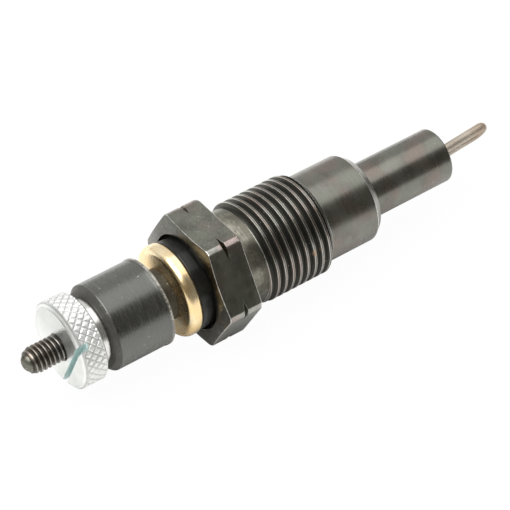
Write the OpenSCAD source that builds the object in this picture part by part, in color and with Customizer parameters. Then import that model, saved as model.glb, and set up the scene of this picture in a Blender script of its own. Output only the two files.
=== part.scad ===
// Two-pole wire-loop glow plug for a diesel engine.
// The axis is X, towards the heater loop. The origin is on the axis, in the seat face of the hexagon.
// The plug lies on a flat of its hexagon, so two flats are level.

/* [Hexagon] */
// Width across the flats
hex_af = 20.8; // [19:0.1:24]
// Diameter to which the corners are turned
hex_corner_d = 23.5; // [22.4:0.1:27]
// Length of the hexagon
hex_len = 6.8; // [6:0.1:10]
// Diameter of the flat ring on the terminal face
hex_face_d = 18.0; // [17.4:0.1:19]
// Slope of the turned terminal face
hex_face_angle = 18; // [10:1:30]
// Bevel on the seat face corners
hex_seat_bevel = 0.3; // [0.1:0.1:0.8]
// Width of the corner groove
corner_groove_w = 0.7; // [0.4:0.1:1.2]
// Depth of the corner groove
corner_groove_depth = 0.55; // [0.2:0.05:0.7]

/* [Thread and nose] */
// Diameter of the relief behind the hexagon
relief_d = 16.7; // [16:0.1:17]
// Length of the relief
relief_len = 3.8; // [2:0.1:6]
// Outside diameter of the engine thread
thread_d = 18; // [17.6:0.1:19]
// Length of the engine thread
thread_len = 13.2; // [9:0.1:20]
// Bevel at the ends of the engine thread
thread_bevel = 0.8; // [0.4:0.1:1]
// Pitch of the engine thread
thread_pitch = 1.5; // [1.2:0.05:2]
// Depth of the engine thread
thread_depth = 0.6; // [0.4:0.05:0.8]
// Width of the flat at the root of the engine thread
thread_root_w = 0.2; // [0.1:0.05:0.3]
// Diameter of the nose behind the thread
nose_d = 15.6; // [15:0.1:16]
// Length of the nose, with its taper
nose_len = 11.0; // [9:0.1:16]
// Length of the taper
taper_len = 1.3; // [0.8:0.1:2]
// Small end of the taper
taper_d = 13.6; // [13:0.1:14.6]
// Diameter of the tip
tip_d = 9.7; // [9.4:0.1:10.4]
// Length of the tip
tip_len = 17.0; // [14:0.1:24]
// Rounding of the tip's rim
tip_round = 0.4; // [0.2:0.1:0.6]

/* [Bores] */
// Diameter of the recess in the terminal face
recess_d = 16.9; // [16.6:0.1:17.2]
// Depth of the recess
recess_depth = 4.2; // [3.4:0.1:4.8]
// Diameter of the main bore
bore_d = 10.8; // [10:0.1:11.4]
// Length of nose left in front of the main bore
bore_land = 4.0; // [2:0.1:6]
// Diameter of the bore through the tip
tip_bore_d = 8.0; // [7.8:0.1:8.2]

/* [Electrodes] */
// Outside diameter of the terminal stud thread
stud_d = 4.7; // [4.4:0.1:5]
// Length of stud outside the nut
stud_free = 6.7; // [4:0.1:10]
// Diameter of the plain point on the stud end
stud_point_d = 3.5; // [3:0.1:3.8]
// Length of the plain point, with its dome
stud_point_len = 1.4; // [1.2:0.1:2.4]
// Length of the lead from the point up to the thread
stud_lead = 0.9; // [0.4:0.1:1.4]
// Radius of the dome on the point
stud_dome_r = 1.95; // [1.9:0.05:3]
// Diameter of the rod behind the stud
rod_d = 3.2; // [3:0.1:3.4]
// Outside diameter of the outer electrode
tube_d = 6.6; // [6.4:0.1:6.8]
// Wall of the outer electrode
tube_wall = 1.0; // [0.9:0.05:1.1]
// Distance from the electrode ends to the tip face
electrode_setback = 4.0; // [3:0.1:6]

/* [Terminals] */
// Diameter of the brass ring
ring_d = 16.1; // [15.6:0.1:17.4]
// Thickness of the brass ring
ring_len = 2.4; // [1.8:0.1:3]
// Rounding of the brass ring's rim
ring_round = 0.8; // [0.4:0.1:0.9]
// Diameter of the spacer
spacer_d = 15.06; // [14:0.02:17]
// Length of the spacer body
spacer_len = 10.86; // [8:0.02:16]
// Bevel on the nut end of the spacer
spacer_bevel = 0.85; // [0.4:0.05:1.2]
// Height of the moulding lip on the ring end of the spacer
spacer_lip = 0.12; // [0.05:0.01:0.3]
// Length of the moulding lip
spacer_lip_len = 1.0; // [0.5:0.1:2]
// Diameter of the spigot
spigot_d = 9.0; // [7.6:0.1:10]
// Length of the spigot, which is the gap for the second lead
spigot_len = 2.84; // [2:0.02:5]
// Diameter of the washer
washer_d = 11.6; // [10:0.1:13]
// Thickness of the washer
washer_len = 1.76; // [0.8:0.02:2.6]
// Diameter of the thumb nut
nut_d = 15.2; // [13:0.1:18]
// Thickness of the thumb nut
nut_len = 4.54; // [3.5:0.02:7]
// Bevel on the outer rim of the nut
nut_bevel = 0.5; // [0.2:0.1:0.8]
// Bevel on the inner rim of the nut
nut_back_bevel = 0.3; // [0.1:0.1:0.6]
// Width of one diamond of the knurl
knurl_pitch = 0.85; // [0.7:0.05:1.6]
// Depth of the knurl
knurl_depth = 0.2; // [0.1:0.02:0.3]
// Distance of the saw slot from the axis
slot_offset = 3.8; // [3.3:0.1:4.6]
// Width of the saw slot
slot_w = 0.8; // [0.5:0.1:1.2]
// Depth of the saw slot
slot_depth = 1.8; // [1:0.1:2.5]
// Direction of the saw slot round the axis
slot_turn = 201; // [0:1:359]

/* [Insulation] */
// Length of collar that shows between the ring and the hexagon
collar_proud = 2.1; // [1:0.1:4]
// Diameter of the collar where it shows
collar_d = 15.8; // [14:0.1:16.2]
// Length of the collar's foot in the recess
collar_foot = 2.0; // [1:0.1:3]
// Overlap of the nose cement on the electrodes
cement_grip = 3.0; // [2.6:0.1:5]
// Distance from the cement to the tip face
cement_setback = 0.3; // [0.1:0.1:1]
// Length of the inner sleeve that reaches into the spacer, past the brass ring
sleeve_reach = 2.0; // [1:0.1:6]

/* [Heater loop] */
// Diameter of the wire
wire_d = 1.65; // [1.4:0.05:1.75]
// Distance between the legs
leg_pitch = 2.8; // [2.7:0.05:2.9]
// Length of the loop outside the tip
loop_len = 12.3; // [7:0.1:16]
// Direction of the second leg round the axis
loop_turn = -63; // [-180:1:180]
// Lean of the loop
loop_lean = 4; // [0:0.5:6]
// Depth of the sockets that hold the legs
socket_depth = 2.6; // [1.5:0.1:2.6]

/* [Fits] */
// Gap round pieces that are pressed or cemented in
seat_gap = 0.03; // [0.01:0.01:0.06]
// Gap round pieces that slide over the stud
slide_gap = 0.1; // [0.05:0.01:0.2]

/* [Hidden] */
$fn = 96;
past = 1;
// Stations along the axis, from the seat face to the stud end
hex_x = -hex_len;
recess_x = hex_x + recess_depth;
ring_back_x = hex_x - collar_proud;
ring_x = ring_back_x - ring_len;
spacer_back_x = ring_x - spigot_len;
spacer_x = spacer_back_x - spacer_len;
sleeve_x = ring_x - sleeve_reach;
washer_x = spacer_x - washer_len;
nut_x = washer_x - nut_len;
stud_x = nut_x - stud_free;
// Stations from the seat face to the heater loop
thread_x = relief_len;
nose_x = thread_x + thread_len;
shoulder_x = nose_x + nose_len;
taper_x = shoulder_x - taper_len;
tip_x = shoulder_x + tip_len;
bore_end_x = shoulder_x - bore_land;
electrode_end_x = tip_x - electrode_setback;
cement_x = electrode_end_x - cement_grip;
cement_end_x = tip_x - cement_setback;
socket_x = electrode_end_x - socket_depth;
// The loop leans where it leaves the tip
elbow_x = tip_x + wire_d / 2;
elbow_r = 4 * wire_d;
bend_r = leg_pitch / 2;
lean_len = loop_len - (elbow_x - tip_x) - elbow_r * sin(loop_lean) - bend_r - wire_d / 2;
tube_bore_d = tube_d - 2 * tube_wall;

// Solid of revolution about X from a list of [radius, station] points
module turned(points) {
    rotate([0, 90, 0]) rotate_extrude() polygon(points);
}

// Plain round bar along X
module bar(d, from, to) {
    translate([from, 0, 0]) rotate([0, 90, 0]) cylinder(d = d, h = to - from);
}

// Plain round tube along X
module sleeve(d, bore, from, to) {
    difference() {
        bar(d, from, to);
        bar(bore, from - past, to + past);
    }
}

// Half section of a disc with a rounded rim, drawn as radius against station
module round_rim(d, len, rim) {
    square([d / 2 - rim, len]);
    translate([0, rim]) square([d / 2, len - 2 * rim]);
    for (y = [rim, len - rim]) translate([d / 2 - rim, y]) circle(r = rim);
}

// Hexagon with turned corners, a coned terminal face and a groove that cuts only the corners
module hexagon() {
    corner = hex_corner_d / 2;
    face = hex_face_d / 2;
    cone_x = hex_x + (corner - face) * tan(hex_face_angle);
    groove_x = hex_x / 2;
    groove_half = corner_groove_w / 2;
    intersection() {
        translate([hex_x, 0, 0]) rotate([0, 90, 0]) rotate(30)
            cylinder(d = hex_af / cos(30), h = hex_len, $fn = 6);
        turned([[0, hex_x], [face, hex_x], [corner, cone_x],
                [corner, groove_x - groove_half], [corner - corner_groove_depth, groove_x],
                [corner, groove_x + groove_half], [corner, -hex_seat_bevel],
                [corner - hex_seat_bevel, 0], [0, 0]]);
    }
}

// Half section of the engine thread between two stations: vee grooves a pitch apart, with 60 degree flanks
function thread_points(from, to) =
    let (crest = thread_d / 2, root = crest - thread_depth,
         narrow = thread_root_w / 2, mouth = narrow + thread_depth * tan(30),
         count = floor((to - from - thread_pitch + 2 * mouth) / thread_pitch),
         first = (from + to - (count - 1) * thread_pitch) / 2)
    [for (k = [0:count - 1])
        let (x = first + k * thread_pitch)
        each [[crest, x - mouth], [root, x - narrow], [root, x + narrow], [crest, x + mouth]]];

// Relief, engine thread, nose and tip
module shank() {
    neck = relief_d / 2;
    crest = thread_d / 2;
    nose = nose_d / 2;
    turned(concat(
        [[0, -past], [neck, -past], [neck, thread_x],
         [crest - thread_bevel, thread_x], [crest, thread_x + thread_bevel]],
        thread_points(thread_x + thread_bevel, nose_x - thread_bevel),
        [[crest, nose_x - thread_bevel], [crest - thread_bevel, nose_x], [nose, nose_x],
         [nose, taper_x], [taper_d / 2, shoulder_x], [0, shoulder_x]]));
    translate([shoulder_x - past, 0, 0]) rotate([0, 90, 0]) rotate_extrude() {
        square([tip_d / 2 - tip_round, tip_len + past]);
        square([tip_d / 2, tip_len + past - tip_round]);
        translate([tip_d / 2 - tip_round, tip_len + past - tip_round]) circle(r = tip_round);
    }
}

module plug_body() {
    color("#4a4844") difference() {
        union() {
            hexagon();
            shank();
        }
        bar(recess_d, hex_x - past, recess_x);
        bar(bore_d, recess_x - past, bore_end_x);
        bar(tip_bore_d, bore_end_x - past, tip_x + past);
    }
}

// Rod and terminal stud turned from one bar, with a domed point and a socket for the first leg
module centre_electrode() {
    point_x = stud_x + stud_point_len;
    color("#57504a") difference() {
        union() {
            intersection() {
                turned([[0, stud_x], [stud_point_d / 2, stud_x], [stud_point_d / 2, point_x],
                        [stud_d / 2, point_x + stud_lead], [stud_d / 2, sleeve_x], [0, sleeve_x]]);
                union() {
                    bar(stud_d + past, point_x, sleeve_x + past);
                    translate([stud_x + stud_dome_r, 0, 0]) sphere(r = stud_dome_r);
                }
            }
            bar(rod_d, sleeve_x - past, electrode_end_x);
        }
        bar(wire_d + 2 * seat_gap, socket_x, electrode_end_x + past);
    }
}

// Round bar whose skin rises and falls in turn over a grid, which leaves rows of diamonds between plain ends
module knurled_bar(d, from, to) {
    count = 2 * round(PI * d / knurl_pitch);
    rows = 2 * ceil((to - from) / knurl_pitch);
    step = (to - from) / rows;
    points = [for (j = [0:rows], i = [0:count - 1])
        let (low = j == 0 || j == rows || (i + j) % 2 == 1)
        let (r = d / 2 - (low ? knurl_depth : 0), a = 360 * i / count)
        [from + j * step, r * cos(a), r * sin(a)]];
    skin = [for (j = [0:rows - 1], i = [0:count - 1])
        let (k = (i + 1) % count, a = j * count + i, b = j * count + k, c = a + count, e = b + count)
        each (i + j) % 2 == 0 ? [[a, c, b], [c, e, b]] : [[a, e, b], [a, c, e]]];
    ends = [[for (i = [0:count - 1]) i], [for (i = [count - 1:-1:0]) rows * count + i]];
    polyhedron(points, concat(skin, ends));
}

// Knurled nut, bevelled at both rims, with a saw slot that misses the stud
module thumb_nut() {
    rim = nut_d / 2;
    color("#d4d8d9") difference() {
        intersection() {
            knurled_bar(nut_d, nut_x - knurl_pitch, washer_x + knurl_pitch);
            turned([[0, nut_x], [rim - nut_bevel, nut_x], [rim + knurl_pitch, nut_x + nut_bevel + knurl_pitch],
                    [rim + knurl_pitch, washer_x - nut_back_bevel - knurl_pitch],
                    [rim - nut_back_bevel, washer_x], [0, washer_x]]);
        }
        bar(stud_d + 2 * seat_gap, nut_x - past, washer_x + past);
        rotate([slot_turn, 0, 0]) translate([nut_x - past, slot_offset - slot_w / 2, -nut_d])
            cube([slot_depth + past, slot_w, 2 * nut_d]);
    }
}

module terminal_washer() {
    color("#d0d2d0") sleeve(washer_d, stud_d + 2 * slide_gap, washer_x, spacer_x);
}

module insulating_spacer() {
    rim = spacer_d / 2;
    lip_x = spacer_back_x - spacer_lip_len;
    color("#2e2e2d") difference() {
        turned([[0, spacer_x], [rim - spacer_bevel, spacer_x], [rim, spacer_x + spacer_bevel],
                [rim, lip_x], [rim + spacer_lip, lip_x + spacer_lip],
                [rim + spacer_lip, spacer_back_x], [spigot_d / 2, spacer_back_x],
                [spigot_d / 2, ring_x], [0, ring_x]]);
        bar(stud_d + 2 * slide_gap, spacer_x - past, ring_x + past);
    }
}

module ring_terminal() {
    color("#c8a468") difference() {
        translate([ring_x, 0, 0]) rotate([0, 90, 0]) rotate_extrude()
            round_rim(ring_d, ring_len, ring_round);
        bar(tube_d + 2 * seat_gap, ring_x - past, ring_back_x + past);
    }
}

// Bush with a foot that fills the recess
module collar_insulator() {
    foot = recess_d / 2 - seat_gap;
    foot_x = recess_x - collar_foot;
    color("#1c1c1c") difference() {
        turned([[0, ring_back_x], [collar_d / 2, ring_back_x], [collar_d / 2, foot_x],
                [foot, foot_x], [foot, recess_x], [0, recess_x]]);
        bar(tube_d + 2 * seat_gap, ring_back_x - past, recess_x + past);
    }
}

// Tube from the brass ring to the nose, with a socket in its wall for the second leg
module outer_electrode() {
    color("#8a8782") difference() {
        sleeve(tube_d, tube_bore_d, ring_x, electrode_end_x);
        second_leg() bar(wire_d + 2 * seat_gap, socket_x, electrode_end_x + past);
    }
}

module inner_insulator() {
    color("#e4ded0") sleeve(tube_bore_d - 2 * seat_gap, rod_d + 2 * seat_gap, sleeve_x, cement_x);
}

module outer_insulator() {
    color("#e4ded0") difference() {
        union() {
            bar(bore_d - 2 * seat_gap, recess_x, bore_end_x);
            bar(tip_bore_d - 2 * seat_gap, bore_end_x - past, cement_x);
        }
        bar(tube_d + 2 * seat_gap, recess_x - past, cement_x + past);
    }
}

// Cast plug that surrounds the electrode ends and the wire legs
module nose_cement() {
    leg_d = wire_d + 2 * seat_gap;
    color("#c9c2b2") difference() {
        bar(tip_bore_d - 2 * seat_gap, cement_x, cement_end_x);
        sleeve(tube_d + 2 * seat_gap, tube_bore_d - 2 * seat_gap, cement_x - past, electrode_end_x);
        bar(rod_d + 2 * seat_gap, cement_x - past, electrode_end_x);
        bar(leg_d, electrode_end_x - past, tip_x);
        second_leg() bar(leg_d, socket_x, tip_x);
    }
}

// Places a child at the second leg
module second_leg() {
    rotate([loop_turn, 0, 0]) translate([0, leg_pitch, 0]) children();
}

// Straight legs in their sockets, an elbow outside the tip, then a hairpin that leans a little
module filament_loop() {
    color("#a39a8c") rotate([loop_turn, 0, 0]) {
        for (y = [0, leg_pitch]) translate([0, y, 0]) {
            bar(wire_d, socket_x, elbow_x);
            translate([elbow_x, 0, elbow_r]) rotate([90, 90, 0])
                rotate_extrude(angle = loop_lean) translate([elbow_r, 0]) circle(d = wire_d);
        }
        translate([elbow_x, 0, elbow_r]) rotate([0, -loop_lean, 0]) translate([0, 0, -elbow_r]) {
            for (y = [0, leg_pitch]) translate([0, y, 0]) bar(wire_d, 0, lean_len);
            translate([lean_len, bend_r, 0]) rotate(-90)
                rotate_extrude(angle = 180) translate([bend_r, 0]) circle(d = wire_d);
        }
    }
}

plug_body();
centre_electrode();
thumb_nut();
terminal_washer();
insulating_spacer();
ring_terminal();
collar_insulator();
outer_electrode();
inner_insulator();
outer_insulator();
nose_cement();
filament_loop();
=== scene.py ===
import math

import bmesh
import bpy
from mathutils import Matrix, Vector


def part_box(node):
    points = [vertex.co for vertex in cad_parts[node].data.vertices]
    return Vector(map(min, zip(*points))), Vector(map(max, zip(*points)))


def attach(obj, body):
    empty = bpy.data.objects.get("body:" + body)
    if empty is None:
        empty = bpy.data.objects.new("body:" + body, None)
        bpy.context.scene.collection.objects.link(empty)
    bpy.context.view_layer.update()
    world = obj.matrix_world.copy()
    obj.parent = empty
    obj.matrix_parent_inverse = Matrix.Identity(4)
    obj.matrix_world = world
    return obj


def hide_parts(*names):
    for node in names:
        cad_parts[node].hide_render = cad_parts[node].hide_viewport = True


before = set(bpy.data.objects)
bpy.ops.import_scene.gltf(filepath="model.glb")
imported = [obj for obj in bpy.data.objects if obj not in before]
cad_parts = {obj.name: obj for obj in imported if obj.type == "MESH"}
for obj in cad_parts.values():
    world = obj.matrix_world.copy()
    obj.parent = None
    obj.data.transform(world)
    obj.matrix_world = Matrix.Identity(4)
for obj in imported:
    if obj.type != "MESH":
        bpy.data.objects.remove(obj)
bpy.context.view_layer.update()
mm = 0.001
print("frame loaded:", len(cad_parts), "nodes")


# node helpers, for shaders and geometry alike

def plug(tree, socket, value):
    if isinstance(value, bpy.types.NodeSocket):
        tree.links.new(value, socket)
    else:
        socket.default_value = value


def addNode(tree, kind, inputs=None, **props):
    node = tree.nodes.new(kind)
    for name, value in props.items():
        setattr(node, name, value)
    for key, value in (inputs or {}).items():
        plug(tree, node.inputs[key], value)
    return node


def calc(tree, operation, *values, clamp=False):
    node = addNode(tree, "ShaderNodeMath", operation=operation, use_clamp=clamp)
    for index, value in enumerate(values):
        plug(tree, node.inputs[index], value)
    return node.outputs[0]


def times(tree, first, *others):
    for other in others:
        first = calc(tree, "MULTIPLY", first, other)
    return first


# base plus the swing of a pattern about its middle
def sway(tree, pattern, amount, base, clamp=False):
    return calc(tree, "MULTIPLY_ADD", calc(tree, "SUBTRACT", pattern, 0.5), amount, base, clamp=clamp)


def ramp(tree, value, low, high, start=0.0, end=1.0, smooth=True):
    kind = "SMOOTHSTEP" if smooth else "LINEAR"
    node = addNode(tree, "ShaderNodeMapRange", interpolation_type=kind)
    for index, item in enumerate((value, low, high, start, end)):
        plug(tree, node.inputs[index], item)
    return node.outputs[0]


# one between two stations in millimetres, with soft ends
def band(tree, station, span, soft):
    low, high = span
    rise = ramp(tree, station, low * mm, (low + soft) * mm)
    return times(tree, rise, ramp(tree, station, high * mm, (high - soft) * mm))


def blend(tree, factor, first, second, mode="MIX"):
    node = addNode(tree, "ShaderNodeMix", data_type="RGBA", blend_type=mode)
    plug(tree, node.inputs[0], factor)
    for index, colour in ((6, first), (7, second)):
        plug(tree, node.inputs[index], colour if isinstance(colour, bpy.types.NodeSocket) else (*colour, 1))
    return node.outputs[2]


def noise(tree, vector, perMetre, detail, rough):
    node = addNode(tree, "ShaderNodeTexNoise", {
        "Vector": vector, "Scale": perMetre, "Detail": detail, "Roughness": rough})
    return node.outputs[0]


def vectorCalc(tree, operation, first, second=None):
    node = addNode(tree, "ShaderNodeVectorMath", {0: first}, operation=operation)
    if second is not None:
        plug(tree, node.inputs[3 if operation == "SCALE" else 1], second)
    return node.outputs[1 if operation == "LENGTH" else 0]


def split(tree, vector):
    return addNode(tree, "ShaderNodeSeparateXYZ", {0: vector}).outputs


def combine(tree, x=0.0, y=0.0, z=0.0):
    return addNode(tree, "ShaderNodeCombineXYZ", {0: x, 1: y, 2: z}).outputs[0]


# distance from the X axis and the direction away from it
def fromAxis(tree, y, z):
    across = combine(tree, y=y, z=z)
    return vectorCalc(tree, "LENGTH", across), vectorCalc(tree, "NORMALIZE", across)


# angle round the X axis as a share of a turn
def turnShare(tree, y, z):
    return calc(tree, "DIVIDE", calc(tree, "ARCTAN2", z, y), 2 * math.pi)


# coordinates of a turned piece, with a vector that runs round the axis without a seam
def turnedCoords(tree, linesPerMetre, roundScale):
    point = addNode(tree, "ShaderNodeTexCoord").outputs["Object"]
    x, y, z = split(tree, point)
    radius, outward = fromAxis(tree, y, z)
    around = vectorCalc(tree, "SCALE", outward, roundScale)
    along = combine(tree, x=times(tree, x, linesPerMetre))
    winding = vectorCalc(tree, "ADD", around, along)
    return {"point": point, "x": x, "y": y, "z": z, "radius": radius, "winding": winding}


# dots scattered over a surface, on a share of its cells
def specks(tree, point, perMetre, size, share):
    cells = addNode(tree, "ShaderNodeTexVoronoi", {"Vector": point, "Scale": perMetre})
    dot = ramp(tree, cells.outputs["Distance"], size, size * 0.4)
    chosen = addNode(tree, "ShaderNodeSeparateColor", {0: cells.outputs["Color"]}).outputs[0]
    return times(tree, dot, calc(tree, "LESS_THAN", chosen, share))


# wear stored on the edges of a mesh, broken up by a pattern
def wornEdges(tree, pattern, reach, low, high):
    worn = addNode(tree, "ShaderNodeAttribute", attribute_name="wear").outputs["Fac"]
    return ramp(tree, times(tree, worn, calc(tree, "ADD", pattern, reach)), low, high)


def newMaterial(name, **constants):
    material = bpy.data.materials.new(name)
    material.use_nodes = True
    tree = material.node_tree
    shader = tree.nodes["Principled BSDF"]
    for key, value in constants.items():
        shader.inputs[key.replace("_", " ")].default_value = value
    return material, tree, shader


# last links of a finish: colour, roughness and a bump whose distance is in millimetres
def dress(tree, shader, colour, roughness, height, strength, distance):
    bump = addNode(tree, "ShaderNodeBump", {
        "Strength": strength, "Distance": distance * mm, "Height": height})
    for name, value in (("Base Color", colour), ("Roughness", roughness), ("Normal", bump.outputs[0])):
        plug(tree, shader.inputs[name], value)


# mesh helpers

# front and back station of a solid and its reach from the axis, in millimetres
def solidSizes(node):
    low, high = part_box(node)
    sizes = {"front": low[0], "back": high[0], "radius": -low[2]}
    return {name: round(size / mm, 4) for name, size in sizes.items()}


def linked(thing):
    bpy.context.scene.collection.objects.link(thing)
    return thing


# corners (station, radius, cut, wear) of a turned outline become short arcs, most worn in their middle
def softenOutline(corners, closed=True, steps=3):
    soft = []
    count = len(corners)
    for index, (x, r, cut, wear) in enumerate(corners):
        ends = not closed and index in (0, count - 1)
        if cut <= 0 or ends:
            soft.append((x, r, 0.0))
            continue
        here = Vector((x, r))
        back = Vector(corners[index - 1][:2]) - here
        ahead = Vector(corners[(index + 1) % count][:2]) - here
        reach = min(cut, 0.3 * back.length, 0.3 * ahead.length)
        back.normalize()
        ahead.normalize()
        first = here + back * reach
        last = here + ahead * reach
        soft.append((*(here + back * reach * 1.4), 0.0))
        for step in range(steps + 1):
            t = step / steps
            spot = first * (1 - t) ** 2 + here * 2 * t * (1 - t) + last * t ** 2
            soft.append((*spot, wear * math.sin(math.pi * t)))
        soft.append((*(here + ahead * reach * 1.4), 0.0))
    return soft


def tidyMesh(mesh, sharpAngle=40):
    work = bmesh.new()
    work.from_mesh(mesh)
    bmesh.ops.remove_doubles(work, verts=work.verts, dist=1e-7)
    bmesh.ops.dissolve_degenerate(work, edges=work.edges, dist=1e-7)
    bmesh.ops.recalc_face_normals(work, faces=work.faces)
    work.to_mesh(mesh)
    work.free()
    mesh.polygons.foreach_set("use_smooth", [True] * len(mesh.polygons))
    mesh.set_sharp_from_angle(angle=math.radians(sharpAngle))
    mesh.update()


# skin over outlines that stand at given angles round X, all with the same number of points
def skinOutlines(name, angles, outlines, material, closed=True):
    points = []
    wear = []
    faces = []
    for angle, outline in zip(angles, outlines):
        c = math.cos(angle)
        s = math.sin(angle)
        points += [(x * mm, r * mm * c, r * mm * s) for x, r, _ in outline]
        wear += [w for _, _, w in outline]
    size = len(outlines[0])
    turns = len(outlines)
    for i in range(turns):
        a = i * size
        b = (i + 1) % turns * size
        for j in range(size if closed else size - 1):
            k = (j + 1) % size
            faces.append((a + j, a + k, b + k, b + j))
    mesh = bpy.data.meshes.new(name)
    mesh.from_pydata(points, [], faces)
    mesh.attributes.new("wear", "FLOAT", "POINT").data.foreach_set("value", wear)
    mesh.materials.append(material)
    tidyMesh(mesh)
    return linked(bpy.data.objects.new(name, mesh))


def turnPiece(name, corners, material, segments=192, closed=True):
    outline = softenOutline(corners, closed)
    angles = [2 * math.pi * i / segments for i in range(segments)]
    return skinOutlines(name, angles, [outline] * segments, material, closed)


def joinPieces(name, first, *others):
    everything = [first, *others]
    with bpy.context.temp_override(active_object=first, object=first, selected_editable_objects=everything):
        bpy.ops.object.join()
    first.name = first.data.name = name
    return first


def inMetres(lengths):
    return {name: length * mm for name, length in lengths.items()}


# new tree with named inputs, and those inputs as a dictionary
def newTree(name, sizes, geometryIn=False):
    tree = bpy.data.node_groups.new(name, "GeometryNodeTree")
    tree.interface.new_socket("Geometry", in_out="OUTPUT", socket_type="NodeSocketGeometry")
    if geometryIn:
        tree.interface.new_socket("Geometry", in_out="INPUT", socket_type="NodeSocketGeometry")
    for size, kind in sizes.items():
        tree.interface.new_socket(size, in_out="INPUT", socket_type="NodeSocket" + kind)
    given = addNode(tree, "NodeGroupInput").outputs
    return tree, {socket.name: socket for socket in given if socket.name}


def endTree(tree, geometry, material):
    realized = addNode(tree, "GeometryNodeRealizeInstances", {0: geometry}).outputs[0]
    painted = addNode(tree, "GeometryNodeSetMaterial", {"Geometry": realized, "Material": material})
    addNode(tree, "NodeGroupOutput", {0: painted.outputs[0]})


# runs a tree once and keeps its result as a plain mesh
def growPiece(name, tree, values, start=None, sharpAngle=40):
    piece = start or linked(bpy.data.objects.new(name, bpy.data.meshes.new(name)))
    modifier = piece.modifiers.new("grow", "NODES")
    modifier.node_group = tree
    for item in tree.interface.items_tree:
        if item.in_out == "INPUT" and item.name in values:
            modifier[item.identifier] = values[item.name]
    graph = bpy.context.evaluated_depsgraph_get()
    grown = piece.evaluated_get(graph)
    mesh = bpy.data.meshes.new_from_object(grown, preserve_all_data_layers=True, depsgraph=graph)
    piece.modifiers.clear()
    if piece.type == "CURVE":  # a curve gives way to the mesh that it led
        bpy.data.objects.remove(piece)
        piece = linked(bpy.data.objects.new(name, mesh))
    piece.data = mesh
    tidyMesh(mesh, sharpAngle)
    return piece


def settle(piece, slot, *nodes):
    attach(piece, "root")
    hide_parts(*nodes)
    print("piece ready:", piece.name, len(piece.data.polygons), "faces")


# screw thread on the X axis, right-handed, closed to an inner sleeve, with a lead at each end
def screwThread():
    tree, g = newTree("screwThread", {
        "start": "Float", "end": "Float", "pitch": "Float", "phase": "Float", "crestRadius": "Float",
        "rootRadius": "Float", "innerRadius": "Float", "crestFlat": "Float", "rootFlat": "Float",
        "leadIn": "Float", "leadOut": "Float", "columns": "Int", "rowsPerPitch": "Int",
        "finish": "Material"})
    before = calc(tree, "DIVIDE", calc(tree, "SUBTRACT", g["start"], g["phase"]), g["pitch"])
    before = calc(tree, "SUBTRACT", calc(tree, "FLOOR", before), 1.0)
    base = calc(tree, "MULTIPLY_ADD", before, g["pitch"], g["phase"])
    turns = calc(tree, "CEIL", calc(tree, "DIVIDE", calc(tree, "SUBTRACT", g["end"], base), g["pitch"]))
    rows = calc(tree, "ADD", times(tree, turns, g["rowsPerPitch"]), 1.0)
    grid = addNode(tree, "GeometryNodeMeshGrid", {
        "Size X": 1.0, "Size Y": 1.0, "Vertices X": calc(tree, "ADD", g["columns"], 1.0),
        "Vertices Y": calc(tree, "ADD", rows, 1.0)}).outputs[0]
    at = split(tree, addNode(tree, "GeometryNodeInputPosition").outputs[0])
    turn = calc(tree, "ADD", at[0], 0.5)
    row = calc(tree, "ROUND", times(tree, calc(tree, "ADD", at[1], 0.5), rows))
    share = calc(tree, "DIVIDE", row, g["rowsPerPitch"])
    x = calc(tree, "MULTIPLY_ADD", calc(tree, "ADD", share, turn), g["pitch"], base)
    x = calc(tree, "MINIMUM", calc(tree, "MAXIMUM", x, g["start"]), g["end"])
    # distance from the middle of a crest, as a share of the pitch
    away = calc(tree, "PINGPONG", share, 0.5)
    rootEdge = calc(tree, "SUBTRACT", 0.5, times(tree, g["rootFlat"], 0.5))
    crestEdge = times(tree, g["crestFlat"], 0.5)
    r = ramp(tree, away, rootEdge, crestEdge, g["rootRadius"], g["crestRadius"], smooth=False)
    height = calc(tree, "SUBTRACT", g["crestRadius"], g["rootRadius"])
    for gap, lead in ((calc(tree, "SUBTRACT", x, g["start"]), g["leadIn"]),
                      (calc(tree, "SUBTRACT", g["end"], x), g["leadOut"])):
        limit = calc(tree, "MULTIPLY_ADD", calc(tree, "DIVIDE", gap, lead), height, g["rootRadius"])
        r = calc(tree, "MINIMUM", r, limit)
    # the first row and the last two make the sleeve inside
    atFirst = calc(tree, "LESS_THAN", row, 0.5)
    atLast = calc(tree, "GREATER_THAN", row, calc(tree, "SUBTRACT", rows, 0.5))
    nearLast = calc(tree, "GREATER_THAN", row, calc(tree, "SUBTRACT", rows, 1.5))
    inside = calc(tree, "MAXIMUM", atFirst, nearLast)
    r = calc(tree, "MULTIPLY_ADD", inside, calc(tree, "SUBTRACT", g["innerRadius"], r), r)
    x = calc(tree, "MULTIPLY_ADD", atLast, calc(tree, "SUBTRACT", g["start"], x), x)
    angle = times(tree, turn, 2 * math.pi)
    y = times(tree, r, calc(tree, "COSINE", angle))
    z = times(tree, r, calc(tree, "SINE", angle))
    spot = combine(tree, x, y, z)
    moved = addNode(tree, "GeometryNodeSetPosition", {"Geometry": grid, "Position": spot}).outputs[0]
    welded = addNode(tree, "GeometryNodeMergeByDistance", {"Geometry": moved, "Distance": 2e-7}).outputs[0]
    endTree(tree, welded, g["finish"])
    return tree


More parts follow.
